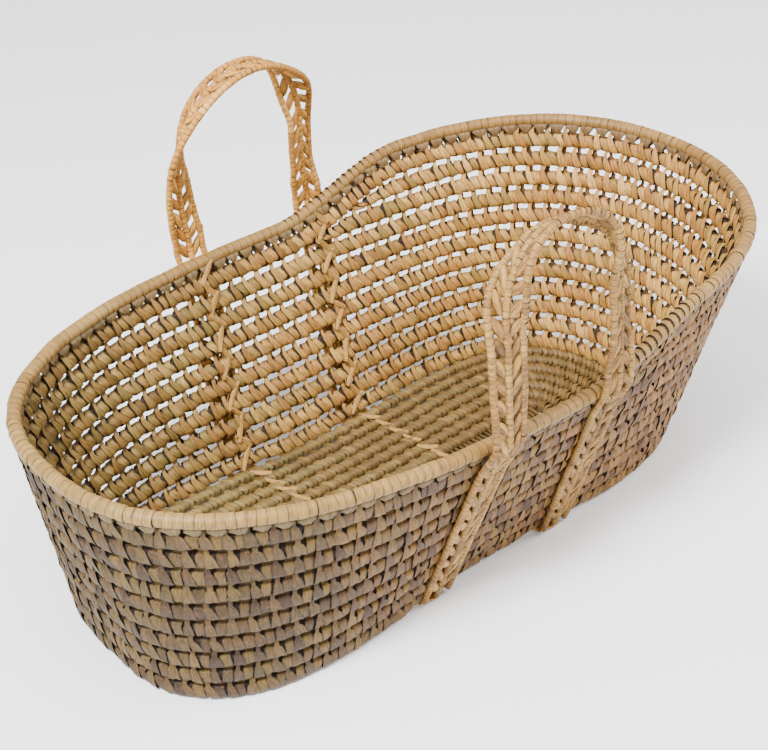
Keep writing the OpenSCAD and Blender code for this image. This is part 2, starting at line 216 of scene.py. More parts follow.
def run_at_x(x, side):
    """Distance along the rim to the point at x, on the front (-1) or back (+1) side."""
    square = HEAD_SQUARE if x > 0 else FOOT_SQUARE
    angle = math.acos(signed_power(x / HALF_LENGTH, square / 2))
    i = angle / (2 * math.pi) * PLAN_SAMPLES
    run = PLAN_RUN[int(i)] + (i - int(i)) * (PLAN_RUN[int(i) + 1] - PLAN_RUN[int(i)])
    return run if side > 0 else PLAN_TOTAL - run


def rise(x):
    return smooth((x - STEP_START) / STEP_RUN)


def rim_height(x):
    past = max(x - STEP_START - STEP_RUN, 0) / (HALF_LENGTH - STEP_START - STEP_RUN)
    short = max(STEP_START - x, 0) / (HALF_LENGTH + STEP_START)
    return (
        SIDE_HEIGHT
        + (STEP_HEIGHT - SIDE_HEIGHT) * rise(x)
        + (HEAD_HEIGHT - STEP_HEIGHT) * past
        + (FOOT_HEIGHT - SIDE_HEIGHT) * short
    )


def row_count(x):
    return SIDE_ROWS + (HEAD_ROWS - SIDE_ROWS) * rise(x)


def flare(p):
    a = math.atan2(p.y / HALF_WIDTH, p.x / HALF_LENGTH)
    c, s = math.cos(a), math.sin(a)
    end = HEAD_FLARE if c > 0 else FOOT_FLARE
    corner = HEAD_CORNER_FLARE if c > 0 else FOOT_CORNER_FLARE
    return end * c * c + SIDE_FLARE * s * s + (corner - (end + SIDE_FLARE) / 2) * math.sin(2 * a) ** 2


class WallFrame:
    """One upright slice of the wall: its rim and base points and its up and out directions."""

    def __init__(self, run):
        p = plan_at(run)
        along = plan_at(run + 4 * MM) - plan_at(run - 4 * MM)
        self.out = Vector((along.y, -along.x, 0)).normalized()
        inner = p - self.out * flare(p)
        self.top = Vector((p.x, p.y, rim_height(p.x)))
        self.foot = Vector((inner.x, inner.y, BASE_HEIGHT))
        self.count = row_count(p.x)
        self.span = (self.top - self.foot).length / self.count
        self.up = (self.top - self.foot).normalized()
        lean = math.hypot(self.up.x, self.up.y)
        self.face = Vector((self.out.x * self.up.z, self.out.y * self.up.z, -lean))

    def at(self, index, out=0.0):
        return self.foot + self.up * self.span * index + self.face * out


def wall_frames(steps):
    return [WallFrame(PLAN_TOTAL * i / steps) for i in range(steps)]


ROW_STEPS = 220
FRAMES = wall_frames(ROW_STEPS)


# ---- Node helper, materials ----


def add(tree, kind, links=None, **settings):
    """Add a node with its settings; links maps an input to a value or to the socket that feeds it."""
    node = tree.nodes.new(kind)
    for name, value in settings.items():
        setattr(node, name, value)
    for key, value in (links or {}).items():
        if isinstance(value, bpy.types.NodeSocket):
            tree.links.new(value, node.inputs[key])
        else:
            node.inputs[key].default_value = value
    return node


def ramp_stops(node, codes, positions=None):
    stops = node.color_ramp.elements
    while len(stops) > 1:
        stops.remove(stops[-1])
    for i, code in enumerate(codes):
        place = positions[i] if positions else i / (len(codes) - 1)
        stop = stops[0] if i == 0 else stops.new(place)
        stop.position = place
        stop.color = srgb(code)


def new_material(name, rough):
    """An empty material with its roughness: gives its tree and its shader too."""
    material = bpy.data.materials.new(name)
    material.use_nodes = True
    shader = material.node_tree.nodes["Principled BSDF"]
    shader.inputs["Roughness"].default_value = rough
    return material, material.node_tree, shader


def palm_leaf(name, outside, inside, foot_tint_and_shade, head_tint_and_light, rough=0.62, veins=1.0):
    """Split and dried palm leaf: each strip has its own tone and fine lengthwise veins, with painted shade
    darkening its edges.
    Inside is the list of tones on the basket's inner face, or None for the same as outside."""
    material, tree, shader = new_material(name, rough)
    tone = add(tree, "ShaderNodeAttribute", attribute_name="tone").outputs["Fac"]
    inner = add(tree, "ShaderNodeAttribute", attribute_name="inside").outputs["Fac"]
    out_ramp = add(tree, "ShaderNodeValToRGB", {"Fac": tone})
    ramp_stops(out_ramp, outside)
    in_ramp = add(tree, "ShaderNodeValToRGB", {"Fac": tone})
    ramp_stops(in_ramp, inside or outside)
    tones = {0: inner, 6: out_ramp.outputs["Color"], 7: in_ramp.outputs["Color"]}
    leaf = add(tree, "ShaderNodeMix", tones, data_type="RGBA").outputs[2]

    # The leaf bundle changes along the basket: greener at the foot, more orange at the head. Where the foot
    # tint is much darker than the head tint, as on the wall, that difference is painted shade at the foot end
    # and painted light at the head end.
    place = add(tree, "ShaderNodeTexCoord").outputs["Object"]
    along = add(tree, "ShaderNodeSeparateXYZ", {0: place}).outputs["X"]
    wander = add(tree, "ShaderNodeTexNoise", {"Vector": place, "Scale": 9.0, "Detail": 2.0}).outputs["Fac"]
    shifted = add(
        tree, "ShaderNodeMath", {0: wander, 1: 0.5, 2: along}, operation="MULTIPLY_ADD"
    ).outputs[0]
    share = add(
        tree, "ShaderNodeMapRange", {"Value": shifted, "From Min": -0.12, "From Max": 0.55}
    ).outputs["Result"]
    tint_and_painted_light = add(
        tree, "ShaderNodeMix", {0: share, 6: srgb(foot_tint_and_shade), 7: srgb(head_tint_and_light)}, data_type="RGBA"
    ).outputs[2]
    leaf = add(
        tree, "ShaderNodeMix", {0: 1.0, 6: leaf, 7: tint_and_painted_light}, data_type="RGBA", blend_type="MULTIPLY"
    ).outputs[2]

    # Veins run the length of the strip, about two to the millimetre, drawn at one so they show
    strip = add(tree, "ShaderNodeUVMap", uv_map="leaf").outputs["UV"]
    shuffled = add(tree, "ShaderNodeMath", {0: tone, 1: 37.0}, operation="MULTIPLY").outputs[0]
    stretched = add(
        tree, "ShaderNodeMapping", {"Vector": strip, "Scale": (9.0, 0.9, 1.0)}
    ).outputs["Vector"]
    vein = add(
        tree, "ShaderNodeTexNoise", {"Vector": stretched, "W": shuffled, "Scale": 1.0, "Detail": 3.0},
        noise_dimensions="4D",
    ).outputs["Fac"]
    vein_ramp = add(tree, "ShaderNodeMapRange", {"Value": vein, "From Min": 0.36, "From Max": 0.62,
                                                 "To Min": 1 - 0.5 * veins, "To Max": 1 + 0.14 * veins})
    leaf = add(
        tree, "ShaderNodeVectorMath", {0: leaf, "Scale": vein_ramp.outputs["Result"]}, operation="SCALE"
    ).outputs[0]

    # Dry brown flecks; and painted shade: each strip darkens towards both edges, where one strip's edge lies
    # over the next
    fleck = add(tree, "ShaderNodeTexNoise", {"Vector": place, "Scale": 260.0, "Detail": 3.0}).outputs["Fac"]
    fleck = add(
        tree, "ShaderNodeMapRange", {"Value": fleck, "From Min": 0.55, "From Max": 0.75, "To Max": 0.45}
    ).outputs["Result"]
    leaf = add(tree, "ShaderNodeMix", {0: fleck, 6: leaf, 7: srgb("#7A5A38")}, data_type="RGBA").outputs[2]
    across = add(tree, "ShaderNodeSeparateXYZ", {0: strip}).outputs["X"]
    off_centre = add(tree, "ShaderNodeMath", {0: across, 1: 0.5}, operation="SUBTRACT").outputs[0]
    off_centre = add(tree, "ShaderNodeMath", {0: off_centre}, operation="ABSOLUTE").outputs[0]
    # painted shade: the colour falls to 0.3 of itself at the strip's edges
    edge = add(
        tree, "ShaderNodeMapRange",
        {"Value": off_centre, "From Min": 0.36, "From Max": 0.5, "To Min": 1.0, "To Max": 0.3},
    ).outputs["Result"]
    leaf = add(tree, "ShaderNodeVectorMath", {0: leaf, "Scale": edge}, operation="SCALE").outputs[0]
    tree.links.new(leaf, shader.inputs["Base Color"])

    bump = add(tree, "ShaderNodeBump", {"Height": vein, "Strength": 0.55, "Distance": 0.5 * MM})
    tree.links.new(bump.outputs["Normal"], shader.inputs["Normal"])
    shader.inputs["Specular IOR Level"].default_value = 0.35
    return material


def painted_shade_pith(name, code):
    """The bundle of leaf stalks inside a coil, seen only through the slits between wraps, coloured near-black
    as painted shade.
    """
    material, tree, shader = new_material(name, 0.85)
    place = add(tree, "ShaderNodeTexCoord").outputs["Object"]
    grain = add(tree, "ShaderNodeTexNoise", {"Vector": place, "Scale": 700.0, "Detail": 2.0}).outputs["Fac"]
    ramp = add(tree, "ShaderNodeValToRGB", {"Fac": grain})
    ramp_stops(ramp, ["#2A1D10", code])
    tree.links.new(ramp.outputs["Color"], shader.inputs["Base Color"])
    return material


def sisal(name):
    """Hard golden leaf fibre, twisted: one noise sets both colour and bump, so the fibre's tone varies and
    its low hollows get painted shade.
    """
    material, tree, shader = new_material(name, 0.7)
    strip = add(tree, "ShaderNodeUVMap", uv_map="leaf").outputs["UV"]
    stretched = add(tree, "ShaderNodeMapping", {"Vector": strip, "Scale": (16.0, 1.5, 1.0),
                                                "Rotation": (0, 0, math.radians(24))}).outputs["Vector"]
    hair = add(tree, "ShaderNodeTexNoise", {"Vector": stretched, "Scale": 1.0, "Detail": 4.0}).outputs["Fac"]
    # darker where the bump is low: painted shade in the hollows, on top of the fibre's own tone
    ramp = add(tree, "ShaderNodeValToRGB", {"Fac": hair})
    ramp_stops(ramp, ["#684618", "#A87C38", "#D2A95E"], [0.25, 0.5, 0.75])
    tree.links.new(ramp.outputs["Color"], shader.inputs["Base Color"])
    bump = add(tree, "ShaderNodeBump", {"Height": hair, "Strength": 0.8, "Distance": 0.6 * MM})
    tree.links.new(bump.outputs["Normal"], shader.inputs["Normal"])
    return material


def make_materials():
    """All finishes, by name, made once."""
    made = {
        "wall": palm_leaf(
            "palm leaf wall",
            ["#4A301D", "#6E4C2F", "#825F37", "#917044", "#664A30",
             "#9E7C47", "#775D30", "#A47F42", "#573723", "#89643A"],
            ["#896738", "#AC8648", "#C6A15C", "#A47F46", "#D5B26E", "#B5884B",
             "#9B8648", "#DDBD7B", "#AC7E44", "#C4A261"],
            # foot tint greener and much darker than the head tint: a real change of hue, plus painted shade
            # at the foot end and painted light at the head end
            "#A6A68C", "#FFE8C2",
        ),
        "base": palm_leaf(
            "palm leaf base",
            ["#67542F", "#7E683B", "#907846", "#736137", "#998450"],
            ["#6F552E", "#896E3E", "#997F49", "#806637", "#A48C56", "#7D6F3E", "#AA935D", "#937A35"],
            "#C2C0AC", "#D2C0A6",
        ),
        "rim": palm_leaf(
            "palm leaf rim",
            ["#A07B44", "#B18C52", "#BB995F", "#A9854C", "#C09F65"],
            None,
            "#D4CFB8", "#DCCFB6", rough=0.5, veins=0.8,
        ),
        "lashing": palm_leaf(
            "palm leaf lashing",
            ["#806744", "#937954", "#88704E", "#9C835E"],
            ["#806744", "#977D57", "#88704E", "#A18861"],
            "#CED0BC", "#DACAB6",
        ),
        "front_strap": palm_leaf(
            "palm leaf cord, weathered",
            ["#8B6034", "#B08549", "#C99B55", "#A17742", "#D9AF64", "#B29151"],
            None,
            "#E0D8CC", "#D8D2C0", rough=0.6, veins=1.3,
        ),
        "back_strap": palm_leaf(
            "palm leaf cord, golden",
            ["#B37B30", "#D19642", "#E6AF52", "#C58A39", "#F0C065"],
            None,
            "#F0E6D6", "#F0E6D6", rough=0.6, veins=1.2,
        ),
        # near-black finish for the coil cores: painted shade inside the coils
        "painted_shade_pith": painted_shade_pith("palm leaf stalks in shade", "#35261A"),
        "sisal": sisal("twisted sisal"),
    }
    return made


MATERIALS = {}
PARTS = {}


# ---- Small repeated shapes ----


PLAIN = ((0.0, 0.5, 1.0), (0.05, 0.4, -0.25))
TURNED = ((0.0, 0.5, 1.0), (-0.3, 0.45, 0.1))
STEPPED = ((0.0, 0.6, 1.0), (0.75, 0.45, -0.7))
PLEATED = ((0.0, 0.4, 0.56, 1.0), (0.25, 0.5, -0.15, 0.35))


def leaf_band(name, loop, across=PLAIN, under=-1.3):
    """A strip of leaf closed round a coil. loop holds (slide, out-to-in, up, width) in millimetres,
    going up the outside and down the inside; across holds the places and lifts over its width."""
    shares, lifts = across
    marks_across = shares + (0.5,)
    count, lines = len(loop), len(shares) + 1
    runs = [0.0]
    for k in range(count):
        a, b = loop[k], loop[(k + 1) % count]
        runs.append(runs[-1] + math.hypot(b[1] - a[1], b[2] - a[2]) / 10)
    points, inner, faces, marks = [], [], [], []
    for k, (slide, y, z, width) in enumerate(loop):
        before, after = loop[k - 1], loop[(k + 1) % count]
        normal = Vector((0, before[2] - after[2], after[1] - before[1])).normalized()
        centre = Vector((slide, y, z))
        for share, lift in zip(shares, lifts):
            points.append((centre + Vector(((share - 0.5) * width, 0, 0)) + normal * lift) * MM)
        points.append((centre + normal * under) * MM)
        inner += [smooth(0.5 + y / 6)] * lines
        for j in range(lines):
            nxt, ring = (j + 1) % lines, (k + 1) % count
            faces.append((k * lines + j, k * lines + nxt, ring * lines + nxt, ring * lines + j))
            u0, u1 = marks_across[j], marks_across[nxt]
            marks += [(u0, runs[k]), (u1, runs[k]), (u1, runs[k + 1]), (u0, runs[k + 1])]
    return small_part(name, points, faces, marks, inner)


def small_part(name, points, faces, marks, inner):
    """An unlinked shape for the weaving tree, with its leaf UV and its strip and inside marks."""
    mesh = bpy.data.meshes.new(name)
    mesh.from_pydata(points, [], faces)
    mesh.uv_layers.new(name="leaf").data.foreach_set("uv", [v for mark in marks for v in mark])
    mesh.attributes.new("inside", "FLOAT", "POINT").data.foreach_set("value", inner)
    mesh.attributes.new("strip", "FLOAT", "POINT").data.foreach_set("value", [1.0] * len(points))
    mesh.polygons.foreach_set("use_smooth", [True] * len(faces))
    shape = bmesh.new()
    shape.from_mesh(mesh)
    bmesh.ops.recalc_face_normals(shape, faces=shape.faces)
    for edge in shape.edges:
        edge.smooth = edge.calc_face_angle(0) < math.radians(78)
    shape.to_mesh(mesh)
    shape.free()
    return bpy.data.objects.new(name, mesh)


ROW_TALL = 18.0


def plain_loop(lean, top, low, tilt=0.4):
    """Wrap round a wall row: flat outside, rounder and leaning inside."""
    return [
        (tilt, -4.6, -8.3, low),
        (tilt * 0.5, -5.1, -4.0, low),
        (-tilt * 0.5, -5.1, 4.0, top),
        (-tilt, -4.4, 8.3, top),
        (0, -2.4, 9.2, top - 0.6),
        (lean * 0.5, 1.0, 8.8, top - 1.2),
        (lean, 3.6, 6.9, top - 0.8),
        (lean * 0.45, 5.2, 2.8, top),
        (-lean * 0.45, 5.2, -2.8, low),
        (-lean, 3.6, -6.9, low - 0.4),
        (-lean * 0.5, 1.0, -8.8, low - 1.2),
        (tilt, -2.2, -9.2, low - 0.6),
    ]


def fan_loop(lean, neck, wide, gap=6.4, tilt=1.4):
    """Wrap that also passes up through the row above: a narrow neck that fans out over the row."""
    return [
        (tilt, -4.9, -8.6, wide),
        (tilt * 0.6, -5.6, -4.0, wide - 0.5),
        (-tilt * 0.2, -5.6, 4.2, wide - 1.8),
        (-tilt, -5.0, 8.4, wide - 3.4),
        (-tilt * 1.2, -4.0, 10.4, neck),
        (-tilt * 1.2, -3.4, 9.0 + gap, neck),
        (lean * 0.4, 0, 12.0 + gap, neck),
        (lean * 1.1, 3.4, 9.0 + gap, neck + 0.2),
        (lean * 1.2, 4.2, 10.6, neck + 0.6),
        (lean * 0.9, 5.0, 7.4, neck + 2.6),
        (lean * 0.2, 5.9, 2.2, wide - 2.2),
        (-lean * 0.6, 5.7, -3.8, wide - 1.2),
        (-lean, 4.8, -8.0, wide - 1.8),
        (-lean * 0.5, 2.2, -9.4, wide - 3.0),
        (tilt, -2.2, -9.4, wide - 2.2),
    ]


def floor_loop(lean, width, neck=0.0, gap=3.0):
    """Wrap of a base row, curved as it crosses the top; with a neck it passes into the next row."""
    if neck:
        side = [
            (0, -3.2, 9.6, neck),
            (0, 0, 11.4 + gap, neck),
            (lean * 1.15, 3.4, 9.0 + gap, neck),
            (lean * 1.1, 4.4, 8.4, width - 0.4),
        ]
    else:
        side = [(0, -2.4, 9.0, width - 0.8), (lean * 0.8, 2.4, 9.0, width - 0.8), (lean, 4.3, 7.4, width)]
    return (
        [(0, -4.5, -7.6, width), (0, -5.0, 0, width), (0, -4.5, 7.6, width)]
        + side
        + [
            (lean * 0.85, 5.4, 3.2, width),
            (lean * 0.3, 5.6, -1.6, width),
            (-lean * 0.5, 4.8, -6.2, width),
            (-lean * 0.9, 2.4, -9.0, width - 1.2),
            (0, -2.4, -9.0, width - 0.8),
        ]
    )


def round_loop(radius, width, sides, lean=0.0):
    """Wrap round a round cord or roll."""
    turns = [2 * math.pi * k / sides for k in range(sides)]
    return [(lean * math.sin(a), -radius * math.cos(a), radius * math.sin(a), width) for a in turns]


def lash_loop(wide, narrow, lean):
    """Leaf end that ties the roll to the row below: wide under the roll, narrow at the row."""
    half = (wide + narrow) / 2
    return [
        (lean, -1.0, -17.0, narrow),
        (lean, -4.6, -14.0, narrow + 1),
        (lean * 0.5, -5.4, -10.4, half),
        (0, -6.3, -7.0, wide),
        (0, -5.0, -3.6, wide),
        (0, 5.0, -3.6, wide),
        (0, 6.3, -7.0, wide),
        (-lean * 0.5, 5.2, -10.4, half),
        (-lean, 4.6, -14.0, narrow + 1),
        (-lean, 1.0, -17.0, narrow),
    ]


def tube_set(name, lines, sides=5, squash=1.0):
    """Closed tapering tubes along lines of (place, radius), all in one small part."""
    points, faces, marks, inner = [], [], [], []
    for line in lines:
        first, last = len(points), len(line) - 1
        for i, (place, radius) in enumerate(line):
            way = (line[min(i + 1, last)][0] - line[max(i - 1, 0)][0]).normalized()
            u = way.cross(Vector((0, 1, 0))).normalized()
            v = way.cross(u)
            for k in range(sides):
                a = 2 * math.pi * k / sides
                points.append((place + u * radius * math.cos(a) + v * radius * squash * math.sin(a)) * MM)
                inner.append(0.5)
        for i in range(last):
            for k in range(sides):
                a, b = first + i * sides + k, first + i * sides + (k + 1) % sides
                faces.append((a, b, b + sides, a + sides))
                u0, u1 = k / sides, (k + 1) / sides
                marks += [(u0, i * 0.3), (u1, i * 0.3), (u1, i * 0.3 + 0.3), (u0, i * 0.3 + 0.3)]
        for start in (first, first + last * sides):
            faces.append(tuple(start + k for k in range(sides)))
            marks += [(0.5, 0.0)] * sides
    return small_part(name, points, faces, marks, inner)


def petal(name, length, width, thick, slant):
    """One leaf tie of a strap: a folded strip, fat in the middle, tucked in at both ends."""
    way = Vector((math.cos(slant), 0, math.sin(slant)))
    line = []
    for i in range(8):
        s = i / 7
        line.append((way * (s - 0.5) * length, 0.5 * width * (0.3 + 0.7 * math.sin(math.pi * s) ** 0.8)))
    return tube_set(name, [line], 8, thick / width)


def fibre_stitch(name, length, width, slant, seed):
    """A stitch of sisal: twisted fibres gathered at both ends, with a few loose ones."""
    chance = random.Random(seed)
    way = Vector((math.cos(slant), 0, math.sin(slant)))
    across = Vector((-way.z, 0, way.x))
    lines = []
    for n in range(8):
        phase, loose = 2 * math.pi * n / 7, n == 7
        line = []
        for i in range(7):
            s = i / 6
            swell = 0.5 * width * (0.35 + 0.65 * math.sin(math.pi * s)) * (2.0 if loose else 0.72)
            a = phase + 2.4 * s
            reach = (s - 0.5) * length * chance.uniform(0.96, 1.05)
            height = 1.8 * math.sin(math.pi * s) + swell * 0.6 * math.sin(a)
            place = way * reach + across * swell * math.cos(a) + Vector((0, height, 0))
            line.append((place, 0.4 if loose else 1.15))
        lines.append(line)
    return tube_set(name, lines, 4)


def make_parts():
    """The handful of leaf shapes that all the weaving repeats."""
    return {
        "wrap_a": leaf_band("wrap_a", plain_loop(2.8, 10.6, 9.8, 0.4)),
        "wrap_b": leaf_band("wrap_b", plain_loop(3.2, 9.8, 10.4, -0.5), TURNED),
        "wrap_c": leaf_band("wrap_c", plain_loop(3.6, 11.0, 9.2, 0.9), PLEATED),
        "fan_a": leaf_band("fan_a", fan_loop(3.0, 4.6, 12.6), PLEATED),
        "fan_b": leaf_band("fan_b", fan_loop(3.6, 5.4, 11.8, tilt=0.6), PLEATED),
        "fan_c": leaf_band("fan_c", fan_loop(2.6, 5.0, 12.2, tilt=1.9), TURNED),
        "floor_a": leaf_band("floor_a", floor_loop(2.4, 6.1), STEPPED),
        "floor_b": leaf_band("floor_b", floor_loop(3.0, 6.5), STEPPED),
        "floor_fan": leaf_band("floor_fan", floor_loop(2.8, 8.4, 7.0, 4.0), STEPPED),
        "open_fan": leaf_band("open_fan", floor_loop(2.8, 8.4, 5.0, 7.5), STEPPED),
        "roll_a": leaf_band("roll_a", round_loop(7.0, 9.8, 12, 0.5), ((0.0, 0.5, 1.0), (0.1, 0.22, -0.2))),
        "roll_b": leaf_band("roll_b", round_loop(7.0, 9.4, 12, -0.5), ((0.0, 0.5, 1.0), (-0.15, 0.25, 0.05))),
        "lash_a": leaf_band("lash_a", lash_loop(17.0, 5.2, 1.6), PLEATED),
        "lash_b": leaf_band("lash_b", lash_loop(16.0, 6.0, 0.4), PLEATED),
        "cord_a": leaf_band("cord_a", round_loop(3.5, 7.6, 8, 0.5), ((0.0, 0.5, 1.0), (0.05, 0.15, -0.25))),
        "cord_b": leaf_band("cord_b", round_loop(3.6, 7.2, 8, -0.6), ((0.0, 0.5, 1.0), (-0.2, 0.15, 0.05))),
        "petal_left": petal("petal_left", 24, 9.6, 5.6, math.radians(-30)),
        "petal_right": petal("petal_right", 24, 9.6, 5.6, math.radians(30)),
        "stitch_long": fibre_stitch("stitch_long", 31, 7.0, math.radians(-33), 3),
        "stitch_short": fibre_stitch("stitch_short", 22, 6.5, math.radians(42), 5),
        "stitch_floor": fibre_stitch("stitch_floor", 24, 6.0, math.radians(20), 8),
    }


# ---- The weaving tree: wraps along a path ----


def weaving_tree():
    """Geometry Nodes tree that lays leaf wraps along a path, with a stitch every few wraps."""
    tree = bpy.data.node_groups.new("Leaf weaving", "GeometryNodeTree")
    tree.is_modifier = True
    inputs = {
        "Geometry": ("Path",),
        "Object": ("Wrap A", "Wrap B", "Wrap C", "Stitch A", "Stitch B", "Stitch C", "Core"),
        "Float": (
            "Pitch", "Nominal height", "Flatness", "Wobble", "Roughness",
            "Width play", "Turn play", "Slide play",
        ),
        "Int": ("Stitch every", "Stitch first", "Tone run", "Seed"),
        "Material": ("Leaf",),
    }
    for kind, names in inputs.items():
        for name in names:
            tree.interface.new_socket(name, in_out="INPUT", socket_type="NodeSocket" + kind)
    tree.interface.new_socket("Weave", in_out="OUTPUT", socket_type="NodeSocketGeometry")
    given = add(tree, "NodeGroupInput").outputs

    curve = add(tree, "GeometryNodeMeshToCurve", {"Mesh": given["Path"]}).outputs[0]
    steps = add(
        tree, "GeometryNodeResampleCurve", {"Curve": curve, "Length": given["Pitch"]}, mode="LENGTH"
    ).outputs[0]
    way = add(tree, "GeometryNodeInputTangent").outputs[0]
    up = add(tree, "GeometryNodeInputNamedAttribute", {"Name": "up"}, data_type="FLOAT_VECTOR").outputs[0]
    tall = add(tree, "GeometryNodeInputNamedAttribute", {"Name": "tall"}, data_type="FLOAT").outputs[0]
    turned = add(
        tree, "FunctionNodeAxesToRotation", {0: up, 1: way}, primary_axis="Z", secondary_axis="X"
    ).outputs[0]

    def chance(low, high, shift, kind="FLOAT", who=None):
        first = {"FLOAT_VECTOR": 0, "FLOAT": 2, "INT": 4}[kind]
        seed = add(tree, "ShaderNodeMath", {0: given["Seed"], 1: float(shift)}).outputs[0]
        links = {first: low, first + 1: high, "Seed": seed}
        if who:
            links["ID"] = who
        made = add(tree, "FunctionNodeRandomValue", links, data_type=kind)
        return made.outputs[{"FLOAT_VECTOR": 0, "FLOAT": 1, "INT": 2}[kind]]

    less = add(tree, "ShaderNodeMath", {0: given["Turn play"], 1: -1.0}, operation="MULTIPLY").outputs[0]
    low, high = (
        add(tree, "ShaderNodeCombineXYZ", {0: most, 1: most, 2: most}).outputs[0]
        for most in (less, given["Turn play"])
    )
    shake = add(tree, "FunctionNodeEulerToRotation", {0: chance(low, high, 1, "FLOAT_VECTOR")}).outputs[0]
    turned = add(tree, "FunctionNodeRotateRotation", {0: turned, 1: shake}, rotation_space="LOCAL").outputs[0]

    narrow = add(tree, "ShaderNodeMath", {0: 1.0, 1: given["Width play"]}, operation="SUBTRACT").outputs[0]
    wide = add(tree, "ShaderNodeMath", {0: 1.0, 1: given["Width play"]}).outputs[0]
    height = add(
        tree, "ShaderNodeMath", {0: tall, 1: given["Nominal height"]}, operation="DIVIDE"
    ).outputs[0]
    thick = add(
        tree, "ShaderNodeMath", {0: chance(0.96, 1.06, 3), 1: given["Flatness"]}, operation="MULTIPLY"
    ).outputs[0]
    size = add(tree, "ShaderNodeCombineXYZ", {0: chance(narrow, wide, 2), 1: thick, 2: height}).outputs[0]

    index = add(tree, "GeometryNodeInputIndex").outputs[0]
    turn = add(tree, "ShaderNodeMath", {0: index, 1: given["Stitch every"]}, operation="MODULO").outputs[0]
    is_stitch = add(
        tree, "ShaderNodeMath", {0: turn, 1: given["Stitch first"], 2: 0.5}, operation="COMPARE"
    ).outputs[0]
    is_wrap = add(tree, "ShaderNodeMath", {0: 1.0, 1: is_stitch}, operation="SUBTRACT").outputs[0]

    # One leaf makes several wraps before the next is taken, so its colour runs on along the row
    ahead = add(tree, "ShaderNodeMath", {0: is_stitch, 1: 3.0, 2: index}, operation="MULTIPLY_ADD").outputs[0]
    leaf = add(tree, "ShaderNodeMath", {0: ahead, 1: given["Tone run"]}, operation="DIVIDE").outputs[0]
    leaf = add(tree, "ShaderNodeMath", {0: leaf}, operation="FLOOR").outputs[0]
    leaf = add(tree, "ShaderNodeMath", {0: leaf, 1: 2.0, 2: is_stitch}, operation="MULTIPLY_ADD").outputs[0]
    tone = add(
        tree, "ShaderNodeMath", {0: chance(0.08, 0.92, 7, who=leaf), 1: chance(-0.08, 0.08, 8)}
    ).outputs[0]
    steps = add(
        tree, "GeometryNodeStoreNamedAttribute", {"Geometry": steps, "Name": "tone", "Value": tone},
        data_type="FLOAT", domain="POINT",
    ).outputs[0]

    laid = []
    for chosen, names, shift in (
        (is_wrap, ("Wrap A", "Wrap B", "Wrap C"), 4),
        (is_stitch, ("Stitch A", "Stitch B", "Stitch C"), 5),
    ):
        join = add(tree, "GeometryNodeJoinGeometry")
        for name in names:
            shape = add(tree, "GeometryNodeObjectInfo", {"Object": given[name], "As Instance": True})
            tree.links.new(shape.outputs["Geometry"], join.inputs[0])
        laid.append(
            add(
                tree,
                "GeometryNodeInstanceOnPoints",
                {
                    "Points": steps,
                    "Selection": chosen,
                    "Instance": join.outputs[0],
                    "Pick Instance": True,
                    "Instance Index": chance(0, len(names) - 1, shift, "INT"),
                    "Rotation": turned,
                    "Scale": size,
                },
            ).outputs[0]
        )
    both = add(tree, "GeometryNodeJoinGeometry")
    for item in laid:
        tree.links.new(item, both.inputs[0])
    back = add(tree, "ShaderNodeMath", {0: given["Slide play"], 1: -1.0}, operation="MULTIPLY").outputs[0]
    slide = add(tree, "ShaderNodeCombineXYZ", {0: chance(back, given["Slide play"], 6)}).outputs[0]
    shift = {0: both.outputs[0], "Translation": slide, "Local Space": True}
    moved = add(tree, "GeometryNodeTranslateInstances", shift).outputs[0]
    core = add(tree, "GeometryNodeObjectInfo", {"Object": given["Core"]}).outputs["Geometry"]
    whole = add(tree, "GeometryNodeJoinGeometry")
    tree.links.new(moved, whole.inputs[0])
    tree.links.new(core, whole.inputs[0])
    real = add(tree, "GeometryNodeRealizeInstances", {0: whole.outputs[0]}).outputs[0]
    place = add(tree, "GeometryNodeInputPosition").outputs[0]
    for amount, scale in ((given["Wobble"], 14.0), (given["Roughness"], 170.0)):
        noise = add(tree, "ShaderNodeTexNoise", {"Vector": place, "Scale": scale, "Detail": 1.0})
        values = {0: noise.outputs["Color"], 1: (0.5, 0.5, 0.5)}
        centred = add(tree, "ShaderNodeVectorMath", values, operation="SUBTRACT").outputs[0]
        push = add(tree, "ShaderNodeVectorMath", {0: centred, "Scale": amount}, operation="SCALE").outputs[0]
        real = add(tree, "GeometryNodeSetPosition", {"Geometry": real, "Offset": push}).outputs[0]
    strip = add(tree, "GeometryNodeInputNamedAttribute", {"Name": "strip"}, data_type="FLOAT").outputs[0]
    leaves = add(tree, "ShaderNodeMath", {0: strip, 1: 0.5}, operation="GREATER_THAN").outputs[0]
    done = add(
        tree, "GeometryNodeSetMaterial", {"Geometry": real, "Selection": leaves, "Material": given["Leaf"]}
    ).outputs[0]
    add(tree, "NodeGroupOutput", {0: done})
    return tree


# ---- Paths, cores and finished pieces ----


